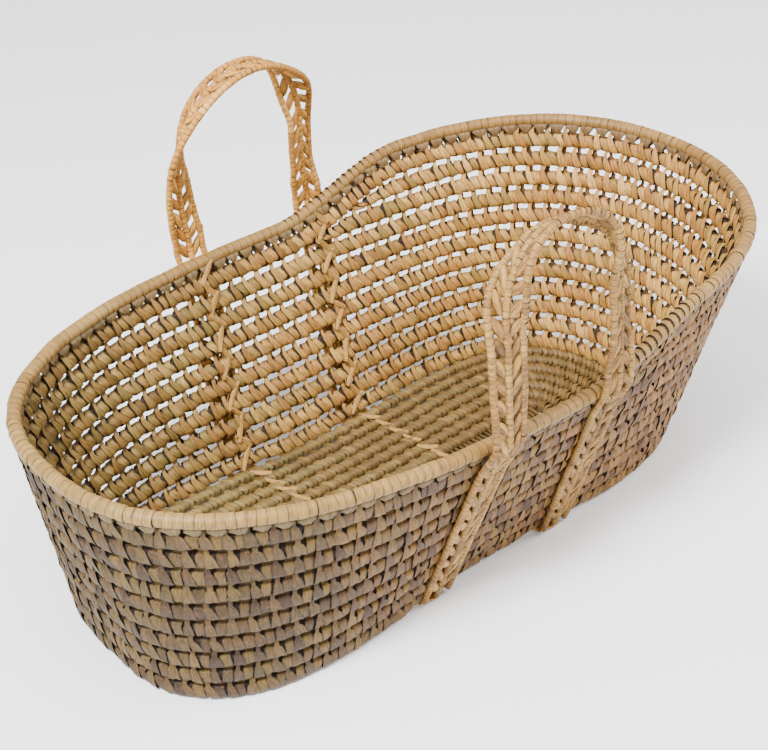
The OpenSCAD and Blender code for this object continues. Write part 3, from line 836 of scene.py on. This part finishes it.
class Path:
    """A line to weave along: points, the way up at each, and the height of the row there."""

    def __init__(self, points, ups, talls, closed):
        self.points, self.ups, self.talls, self.closed = points, ups, talls, closed

    def carrier(self, name):
        count = len(self.points)
        edges = [(i, i + 1) for i in range(count - 1)] + ([(count - 1, 0)] if self.closed else [])
        mesh = bpy.data.meshes.new(name)
        mesh.from_pydata(self.points, edges, [])
        mesh.attributes.new("up", "FLOAT_VECTOR", "POINT").data.foreach_set(
            "vector", [v for up in self.ups for v in up]
        )
        mesh.attributes.new("tall", "FLOAT", "POINT").data.foreach_set("value", self.talls)
        carrier = bpy.data.objects.new(name, mesh)
        bpy.context.scene.collection.objects.link(carrier)
        return carrier

    def core(self, name, thick, tall_share, sides=8, step=2):
        """The bundle inside the wraps, a plain tube a little smaller than them, in the near-black
        painted-shade finish.
        """
        picks = list(range(0, len(self.points), step))
        if not self.closed and picks[-1] != len(self.points) - 1:
            picks.append(len(self.points) - 1)
        points = []
        last = len(self.points) - 1
        for i in picks:
            before = self.points[(i - 1) if self.closed else max(i - 1, 0)]
            after = self.points[(i + 1) % (last + 1) if self.closed else min(i + 1, last)]
            way = (after - before).normalized()
            up = self.ups[i]
            across = up.cross(way).normalized()
            for k in range(sides):
                a = 2 * math.pi * k / sides
                high = signed_power(math.sin(a), 0.7) * self.talls[i] * tall_share / 2
                deep = signed_power(math.cos(a), 0.7) * thick / 2
                points.append(self.points[i] + up * high + across * deep)
        rings = len(picks)
        faces = [
            (
                i * sides + k,
                i * sides + (k + 1) % sides,
                (i + 1) % rings * sides + (k + 1) % sides,
                (i + 1) % rings * sides + k,
            )
            for i in range(rings if self.closed else rings - 1)
            for k in range(sides)
        ]
        if not self.closed:
            faces += [tuple(range(sides)), tuple((rings - 1) * sides + k for k in range(sides))]
        mesh = bpy.data.meshes.new(name)
        mesh.from_pydata(points, [], faces)
        mesh.materials.append(MATERIALS["painted_shade_pith"])
        shape = bmesh.new()
        shape.from_mesh(mesh)
        bmesh.ops.recalc_face_normals(shape, faces=shape.faces)
        shape.to_mesh(mesh)
        shape.free()
        return bpy.data.objects.new(name, mesh)


TREES = {}
NEVER = 1000000


def weave(
    name, path, material, pitch, parts, core, stitches=None, every=NEVER, first=-1, nominal=ROW_TALL * MM,
    width_play=0.1, turn_play=0.05, slide_play=0.7 * MM, seed=0, flat=1.0, tone_run=14,
    wobble=3.0 * MM, roughness=1.3 * MM,
):
    """Weave one path and return the finished plain piece."""
    tree = TREES.setdefault("leaf", None) or weaving_tree()
    TREES["leaf"] = tree
    carrier = path.carrier(name + "_path")
    modifier = carrier.modifiers.new("Weave", "NODES")
    modifier.node_group = tree
    values = {
        f"{kind} {letter}": PARTS[names[i % len(names)]]
        for kind, names in (("Wrap", parts), ("Stitch", stitches or parts))
        for i, letter in enumerate("ABC")
    }
    values |= {
        "Core": core,
        "Pitch": pitch,
        "Stitch every": every,
        "Stitch first": first,
        "Nominal height": nominal,
        "Flatness": flat,
        "Tone run": tone_run,
        "Wobble": wobble,
        "Roughness": roughness,
        "Width play": width_play,
        "Turn play": turn_play,
        "Slide play": slide_play,
        "Seed": seed,
        "Leaf": MATERIALS[material],
    }
    for item in tree.interface.items_tree:
        if item.in_out == "INPUT" and item.name in values:
            modifier[item.identifier] = values[item.name]
    carrier.update_tag()
    bpy.context.view_layer.update()
    graph = bpy.context.evaluated_depsgraph_get()
    mesh = bpy.data.meshes.new_from_object(
        carrier.evaluated_get(graph), preserve_all_data_layers=True, depsgraph=graph
    )
    mesh.name = name
    if not mesh.polygons:
        raise RuntimeError(name + " came out empty")
    for spent in ("up", "tall", "strip"):
        if spent in mesh.attributes:
            mesh.attributes.remove(mesh.attributes[spent])
    piece = bpy.data.objects.new(name, mesh)
    bpy.context.scene.collection.objects.link(piece)
    bpy.data.objects.remove(carrier)
    return piece


def join_pieces(name, pieces):
    """Several finished pieces as one mesh."""
    shape = bmesh.new()
    materials = []
    for piece in pieces:
        offset = {}
        for i, material in enumerate(piece.data.materials):
            if material not in materials:
                materials.append(material)
            offset[i] = materials.index(material)
        start = len(shape.faces)
        shape.from_mesh(piece.data)
        shape.faces.ensure_lookup_table()
        for face in shape.faces[start:]:
            face.material_index = offset.get(face.material_index, 0)
    mesh = bpy.data.meshes.new(name)
    shape.to_mesh(mesh)
    shape.free()
    for material in materials:
        mesh.materials.append(material)
    for piece in pieces:
        bpy.data.objects.remove(piece)
    whole = bpy.data.objects.new(name, mesh)
    bpy.context.scene.collection.objects.link(whole)
    return whole


def settle(piece, body, slot, *nodes):
    """Say what the piece rides on and hide the CAD nodes it stands for; the material slot argument is not
    used.
    """
    if nodes:
        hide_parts(*nodes)
    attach(piece, body)


# ---- Rows of the wall and base ----


def near_strap(p):
    """How far the bottom row is lifted over a strap, from 0 to 1."""
    best = 0.0
    for _, base_x, side in STRAPS.values():
        if side * p.y > HALF_WIDTH / 3:
            d = abs(p.x - base_x)
            best = max(best, min(max((NOTCH_HALF + NOTCH_FALL - d) / NOTCH_FALL, 0), 1))
    return best


def wall_path(low, high, gap, frames=FRAMES, closed=True):
    points, ups, talls = [], [], []
    for f in frames:
        a, b = low(f), high(f)
        points.append(f.at((a + b) / 2))
        ups.append(f.up)
        talls.append(max((b - a) * f.span - gap * min(b - a, 1), 1.5 * MM))
    return Path(points, ups, talls, closed)


def base_path(low, high, gap, front_gap=0.0):
    """A ring of the base; front_gap opens it further from its neighbour on the front side."""
    points, ups, talls = [], [], []
    for f in FRAMES:
        edge = Vector((f.foot.x, f.foot.y, 0)) - f.out * BASE_EDGE_INSET
        heart = Vector((min(max(edge.x, HEART_FOOT), HEART_HEAD), 0, 0))
        way = (edge - heart).normalized()
        reach = (edge - heart).length
        place = heart + way * reach * (low + high) / 2
        points.append(Vector((place.x, place.y, BASE_FLOOR + ROW_THICK / 2)))
        ups.append(way)
        talls.append((high - low) * reach - gap - front_gap * smooth(-place.y / (60 * MM)))
    return Path(points, ups, talls, True)


def notch(f):
    return near_strap(f.foot) * NOTCH_LIFT / f.span


WALL_ROWS = {"wall_row_1": (lambda f: -0.5 + notch(f), lambda f: 0.5)}
for row in range(1, 9):
    WALL_ROWS[f"wall_row_{row + 1}"] = (lambda f, r=row: r - 0.5, lambda f, r=row: r + 0.5)
WALL_ROWS["shoulder_row"] = (lambda f: f.count - 1.5, lambda f: f.count - 0.5)


def setup():
    """Materials and repeated shapes, made before the first piece."""
    if not MATERIALS:
        MATERIALS.update(make_materials())
        PARTS.update(make_parts())


class BASKET_OT_wall(bpy.types.Operator):
    """Weave the rows of the wall, the short head rows and the row under the rim"""

    bl_idname = "basket.wall"
    bl_label = "Weave the wall"

    def execute(self, context):
        setup()
        sizes = context.scene.basket_weave
        rows = [(name, wall_path(*edges, sizes.row_gap)) for name, edges in WALL_ROWS.items()]
        for name, index in (("head_row_lower", 9), ("head_row_upper", 10)):
            wanted = (index - SIDE_ROWS + 1 + THIN_TIP) / (HEAD_ROWS - SIDE_ROWS)
            start = run_at_x(STEP_START + STEP_RUN * inverse_smooth(wanted), BACK)
            steps = 110
            frames = [WallFrame(-start + 2 * start * i / steps) for i in range(steps + 1)]
            rows.append(
                (
                    name,
                    wall_path(
                        lambda f, r=index: r - 0.5,
                        lambda f, r=index: min(r + 0.5, f.count - 1.5),
                        sizes.row_gap,
                        frames,
                        False,
                    ),
                )
            )
        for i, (name, path) in enumerate(rows):
            core = path.core(name + "_core", ROW_THICK - 2.2 * MM, 0.9)
            piece = weave(
                name + "_weave", path, "wall", sizes.wrap_pitch, ("wrap_a", "wrap_b", "wrap_c"), core,
                stitches=("fan_a", "fan_b", "fan_c"), every=2, first=0, seed=sizes.seed + 20 * i,
                width_play=0.17, turn_play=0.11, slide_play=1.0 * MM,
            )
            settle(piece, "basket", "wall_leaf", name)
        return {"FINISHED"}


class BASKET_OT_base(bpy.types.Operator):
    """Coil the base: a straight core and the rings round it"""

    bl_idname = "basket.base"
    bl_label = "Coil the base"

    def execute(self, context):
        setup()
        sizes = context.scene.basket_weave
        share = 1 / (RING_COUNT + 0.5)
        for k in range(1, RING_COUNT + 1):
            is_open = k >= FIRST_OPEN_RING
            gap = sizes.row_gap + OPEN_RING_GAP if is_open else sizes.floor_gap
            path = base_path((k - 0.5) * share, (k + 0.5) * share, gap, OPEN_FRONT_GAP if is_open else 0)
            name = f"base_ring_{k}"
            core = path.core(name + "_core", ROW_THICK - 2.4 * MM, 0.9)
            piece = weave(
                name + "_weave", path, "base", sizes.floor_pitch, ("floor_a", "floor_b"), core,
                stitches=("open_fan",) if is_open else ("floor_fan",),
                every=3, first=0, seed=sizes.seed + 400 + 20 * k, wobble=2 * MM,
            )
            settle(piece, "basket", "base_leaf", name)
        steps = 60
        points = [
            Vector((HEART_FOOT + (HEART_HEAD - HEART_FOOT) * i / steps, 0, BASE_FLOOR + ROW_THICK / 2))
            for i in range(steps + 1)
        ]
        path = Path(points, [Vector((0, 1, 0))] * len(points), [17 * MM] * len(points), False)
        core = path.core("base_core_core", ROW_THICK - 2.4 * MM, 0.9)
        piece = weave(
            "base_core_weave", path, "base", sizes.floor_pitch, ("floor_a", "floor_b"), core,
            seed=sizes.seed + 600,
        )
        settle(piece, "basket", "base_leaf", "base_core")
        return {"FINISHED"}


class BASKET_OT_rim(bpy.types.Operator):
    """Wrap the rim roll and lash it to the row below"""

    bl_idname = "basket.rim"
    bl_label = "Wrap the rim"

    def execute(self, context):
        setup()
        sizes = context.scene.basket_weave
        roll = Path([f.top for f in FRAMES], [f.up for f in FRAMES], [2 * ROLL_RADIUS] * len(FRAMES), True)
        core = roll.core("rim_core", 2 * ROLL_RADIUS - 3.4 * MM, 0.78, 10)
        wraps = weave(
            "rim_wraps", roll, "rim", sizes.rim_pitch, ("roll_a", "roll_b"), core, nominal=2 * ROLL_RADIUS,
            width_play=0.1, turn_play=0.04, seed=sizes.seed + 700, tone_run=9, roughness=0.5 * MM,
        )
        lashing = weave(
            "rim_lashing", roll, "lashing", 2 * sizes.wrap_pitch, ("lash_a", "lash_b"), None,
            nominal=2 * ROLL_RADIUS, width_play=0.08, turn_play=0.04, seed=sizes.seed + 720,
        )
        piece = join_pieces("rim_roll_weave", [wraps, lashing])
        settle(piece, "basket", "rim_leaf", "rim_roll")
        return {"FINISHED"}


# ---- Straps and loops ----


def frame_at_x(x, side):
    return WallFrame(run_at_x(x, side))


def leg_line(x_rim, x_base, side):
    """Middle line of one strap cord up the wall, as in its solid."""
    off = ROW_THICK / 2 + CORD_RADIUS + CORD_CLEAR
    low, high = frame_at_x(x_base, side), frame_at_x(x_rim, side)
    start = low.foot + low.face * off
    below = (LEG_FOOT_Z - start.z) / low.up.z
    under = high.top - high.up * LEG_UNDER_RIM + high.face * off
    rim_y = high.top.y + high.out.y * (ROLL_RADIUS + CORD_RADIUS + CORD_CLEAR)
    first = start + low.up * below
    first += low.up * LEG_FOOT_LIFT
    return [
        Vector((x_base, first.y, first.z)),
        Vector((x_rim, under.y, under.z)),
        Vector((x_rim, (rim_y + side * STRAP_Y) / 2, high.top.z - 2 * MM)),
        Vector((x_rim, side * STRAP_Y, high.top.z + LEG_OVER_RIM)),
    ]


def even_points(line, step):
    """Points every step along a broken line, its corners eased."""
    runs = [0.0]
    for a, b in zip(line, line[1:]):
        runs.append(runs[-1] + (b - a).length)
    count = max(int(runs[-1] / step), 2)
    points = []
    for i in range(count + 1):
        run = runs[-1] * i / count
        k = min(bisect.bisect_right(runs, run) - 1, len(line) - 2)
        share = (run - runs[k]) / (runs[k + 1] - runs[k])
        points.append(line[k].lerp(line[k + 1], share))
    for _ in range(2):
        points = (
            [points[0]]
            + [(points[i - 1] + points[i] * 2 + points[i + 1]) / 4 for i in range(1, count)]
            + [points[-1]]
        )
    return points


def loop_frames(x0, x1, side, steps=34, legs=12):
    """Centre and width direction along a carrying loop, from the rim up and back down."""
    middle, half = (x0 + x1) / 2, (x1 - x0) / 2
    top, arch = LOOP_RISE[side], LOOP_ARCH[side]
    z1 = FOLD_Z + top - arch
    low0, low1 = rim_height(x0) + LEG_OVER_RIM, rim_height(x1) + LEG_OVER_RIM
    line = [(x0, low0 + (z1 - low0) * i / legs) for i in range(legs)]
    line += [
        (middle + half * math.cos(math.pi * (1 - i / steps)), z1 + arch * math.sin(math.pi * i / steps))
        for i in range(steps + 1)
    ]
    line += [(x1, low1 + (z1 - low1) * i / legs) for i in range(legs - 1, -1, -1)]
    made = []
    for i, (x, z) in enumerate(line):
        before, after = line[max(i - 1, 0)], line[min(i + 1, len(line) - 1)]
        ahead = Vector((after[0] - before[0], 0, after[1] - before[1])).normalized()
        share = max((z - FOLD_Z) / top, 0)
        leg = 0 if i < (len(line) - 1) / 2 else 1
        start, toe = TWIST_START[side][leg], LOOP_TOE[side][leg]
        turn = toe * smooth(share / TOE_EASE)
        turn += (LOOP_TURN[side] - toe) * smooth((share - start) / (1 - start))
        sway = LOOP_SKEW[side] * share**2 + LOOP_BOW[side] * 4 * share * (1 - share)
        point = Vector((x + sway, side * (STRAP_Y - LOOP_LEAN * share), z))
        wide = Vector((-ahead.z * math.cos(turn), -side * math.sin(turn), ahead.x * math.cos(turn)))
        made.append((point, wide))
    return made


def lane_path(frames, lane):
    points = [centre + wide * lane * CORD_PITCH for centre, wide in frames]
    return Path(points, [wide for _, wide in frames], [2 * CORD_RADIUS] * len(frames), False)


def strap_lanes(name, frames, material, sizes, seed, ties=True, cords=True, flat=1.0):
    """The three wrapped cords of a strap and, between them, two lanes of leaf ties."""
    made = []
    for lane in (-1, 0, 1) if cords else ():
        path = lane_path(frames, lane)
        core = path.core(f"{name}_core_{lane}", 5.6 * MM * flat, 0.7, 6, 1)
        made.append(
            weave(
                f"{name}_cord_{lane}", path, material, sizes.cord_pitch, ("cord_a", "cord_b"), core,
                nominal=2 * CORD_RADIUS, slide_play=0.3 * MM, seed=seed + lane, flat=flat, tone_run=7,
                wobble=2 * MM, roughness=1.0 * MM,
            )
        )
    for lane, tie in ((-0.5, "petal_left"), (0.5, "petal_right")) if ties else ():
        made.append(
            weave(
                f"{name}_ties_{lane}", lane_path(frames, lane), material, sizes.tie_pitch, (tie,), None,
                nominal=2 * CORD_RADIUS, width_play=0.08, turn_play=0.12, slide_play=1 * MM,
                seed=seed + 5 + int(2 * lane), flat=flat, tone_run=1, wobble=2 * MM, roughness=2.0 * MM,
            )
        )
    return join_pieces(name + "_weave", made)


class BASKET_OT_straps(bpy.types.Operator):
    """Wrap and tie the four straps on the wall and the two under the base"""

    bl_idname = "basket.straps"
    bl_label = "Make the sewn straps"

    def execute(self, context):
        setup()
        sizes = context.scene.basket_weave
        ties = []
        for n, (name, (x_rim, x_base, side)) in enumerate(STRAPS.items()):
            material = "front_strap" if side == FRONT else "back_strap"
            points = even_points(leg_line(x_rim, x_base, side), 6 * MM)
            frames = [(p, Vector((1, 0, 0))) for p in points]
            seed = sizes.seed + 800 + 20 * n
            piece = strap_lanes(name, frames, material, sizes, seed, ties=False)
            settle(piece, "basket", "strap_leaf", name)
            ties.append(strap_lanes(name + "_ties", frames[3:-4], material, sizes, seed, cords=False))
        settle(join_pieces("strap_ties_weave", ties), "basket", "strap_tie_leaf", "strap_ties")

        for n, end in enumerate(("foot", "head")):
            low = [leg_line(STRAPS[f"{w}_strap_{end}"][1], STRAPS[f"{w}_strap_{end}"][1], s)[0]
                   for w, s in (("front", FRONT), ("back", BACK))]
            points = [low[0].lerp(low[1], 0.03 + 0.94 * i / 40) for i in range(41)]
            wide = Vector((0, 0, 1)).cross(low[0] - low[1]).normalized()
            frames = [(Vector((p.x, p.y, UNDER_STRAP_Z)), wide) for p in points]
            name = f"under_strap_{end}"
            piece = strap_lanes(name, frames, "back_strap", sizes, sizes.seed + 900 + 20 * n, flat=0.5)
            settle(piece, "basket", "strap_leaf", name)
        return {"FINISHED"}


class BASKET_OT_loops(bpy.types.Operator):
    """Wrap and tie the two carrying loops"""

    bl_idname = "basket.loops"
    bl_label = "Make the carrying loops"

    def execute(self, context):
        setup()
        sizes = context.scene.basket_weave
        for side, word in ((FRONT, "front"), (BACK, "back")):
            x0 = STRAPS[word + "_strap_foot"][0]
            x1 = STRAPS[word + "_strap_head"][0]
            frames = loop_frames(x0, x1, side)
            piece = strap_lanes(word + "_loop", frames, word + "_strap", sizes, sizes.seed + 960 + 20 * side)
            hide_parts(word + "_loop_edge_cords", word + "_loop_middle_cord", word + "_loop_ties")
            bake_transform(piece)
        return {"FINISHED"}


# ---- Sisal lacing ----


class BASKET_OT_lacing(bpy.types.Operator):
    """Stitch the straps through the weave with sisal, up the inside of the wall and over the base"""

    bl_idname = "basket.lacing"
    bl_label = "Stitch the sisal lacing"

    def execute(self, context):
        setup()
        seed = context.scene.basket_weave.seed + 1000
        off = -(ROW_THICK / 2 + 2.4 * MM)
        for n, (name, (x_rim, x_base, side)) in enumerate(STRAPS.items()):
            low, high = frame_at_x(x_base, side), frame_at_x(x_rim, side)
            a = low.foot + low.up * LACE_START + low.face * off
            b = high.top - high.up * LACE_END + high.face * off
            points = [a.lerp(b, i / 30) for i in range(31)]
            ups = [(-low.face).cross(b - a).normalized()] * 31
            self.stitch("wall_lacing_" + name.replace("_strap", ""), points, ups, 17 * MM, "stitch_long",
                        "stitch_short", seed + 20 * n)
        for n, end in enumerate(("foot", "head")):
            x0, x1 = STRAPS["front_strap_" + end][1], STRAPS["back_strap_" + end][1]
            a, b = frame_at_x(x0, FRONT).foot, frame_at_x(x1, BACK).foot
            a, b = a.lerp(b, 0.09), b.lerp(a, 0.09)
            points = [Vector((*a.lerp(b, i / 24).xy, BASE_FLOOR + ROW_THICK + 1.4 * MM)) for i in range(25)]
            ups = [Vector((0, 0, 1)).cross(b - a).normalized()] * 25
            self.stitch("floor_lacing_" + end, points, ups, 21 * MM, "stitch_floor", "stitch_short",
                        seed + 100 + n)
        return {"FINISHED"}

    def stitch(self, name, points, ups, pitch, first, second, seed):
        path = Path(points, ups, [10 * MM] * len(points), False)
        piece = weave(
            name + "_weave", path, "sisal", pitch, (first,), None, stitches=(second,), every=2, first=1,
            nominal=10 * MM, turn_play=0.16, slide_play=1.5 * MM, width_play=0.12, seed=seed, tone_run=1,
            wobble=3 * MM, roughness=1.2 * MM,
        )
        settle(piece, "basket", "sisal", name)


# ---- Stage ----


class BASKET_OT_stage(bpy.types.Operator):
    """Pale floor, soft lights and the camera"""

    bl_idname = "basket.stage"
    bl_label = "Set the stage"

    def execute(self, context):
        stage = context.scene.basket_stage
        half = 6.0
        mesh = bpy.data.meshes.new("studio_floor")
        corners = [(-half, -half, 0), (half, -half, 0), (half, half, 0), (-half, half, 0)]
        mesh.from_pydata(corners, [], [(0, 1, 2, 3)])
        floor = bpy.data.objects.new("studio_floor", mesh)
        context.scene.collection.objects.link(floor)
        paper, _, shader = new_material("seamless studio paper", 0.9)
        shader.inputs["Base Color"].default_value = context.scene.basket_colours.floor
        mesh.materials.append(paper)

        world = bpy.data.worlds.new("soft white room")
        world.use_nodes = True
        world.node_tree.nodes["Background"].inputs["Color"].default_value = srgb("#FFFFFF")
        world.node_tree.nodes["Background"].inputs["Strength"].default_value = 1.12
        context.scene.world = world

        for name, place, size, power in (
            ("key", (1.9, -1.3, 1.9), 0.9, 58.0),
            ("high_left", (-1.6, -0.5, 2.5), 0.7, 190.0),
            ("top", (-0.2, -0.7, 3.2), 1.6, 46.0),
        ):
            light = bpy.data.lights.new(name + "_softbox", "AREA")
            light.size = size
            light.energy = power
            holder = bpy.data.objects.new(name + "_softbox", light)
            holder.location = place
            holder.rotation_euler = (Vector((0, 0, 0.15)) - Vector(place)).to_track_quat("-Z", "Y").to_euler()
            context.scene.collection.objects.link(holder)

        lens = bpy.data.cameras.new("studio_camera")
        lens.lens = stage.lens
        lens.shift_x, lens.shift_y = -0.0284, 0.056
        camera = bpy.data.objects.new("studio_camera", lens)
        a, e = stage.azimuth, stage.elevation
        back = Vector((math.sin(a) * math.cos(e), -math.cos(a) * math.cos(e), math.sin(e)))
        camera.location = Vector((0, 0, 0.1)) + back * stage.distance
        camera.rotation_euler = back.to_track_quat("Z", "Y").to_euler()
        context.scene.collection.objects.link(camera)
        context.scene.camera = camera
        return {"FINISHED"}


class BASKET_PT_panel(bpy.types.Panel):
    """Basket steps"""

    bl_label = "Moses basket"
    bl_space_type = "VIEW_3D"
    bl_region_type = "UI"
    bl_category = "Basket"

    def draw(self, context):
        for group in ("basket_weave", "basket_colours", "basket_stage"):
            holder = getattr(context.scene, group)
            for name in holder.bl_rna.properties.keys():
                if name not in ("rna_type", "name"):
                    self.layout.prop(holder, name)
        for step in STEPS:
            self.layout.operator(step)


STEPS = tuple("basket." + step for step in ("wall", "base", "rim", "straps", "loops", "lacing", "stage"))
GROUPS = {"basket_weave": BasketWeave, "basket_colours": BasketColours, "basket_stage": BasketStage}
CLASSES = (
    BasketWeave, BasketColours, BasketStage, BASKET_OT_wall, BASKET_OT_base, BASKET_OT_rim, BASKET_OT_straps,
    BASKET_OT_loops, BASKET_OT_lacing, BASKET_OT_stage, BASKET_PT_panel,
)


def register():
    for item in CLASSES:
        bpy.utils.register_class(item)
    for name, group in GROUPS.items():
        setattr(bpy.types.Scene, name, bpy.props.PointerProperty(type=group))


def unregister():
    for name in GROUPS:
        delattr(bpy.types.Scene, name)
    for item in reversed(CLASSES):
        bpy.utils.unregister_class(item)


def main():
    register()
    for step in STEPS:
        section, name = step.split(".")
        getattr(getattr(bpy.ops, section), name)()


if __name__ == "__main__":
    main()
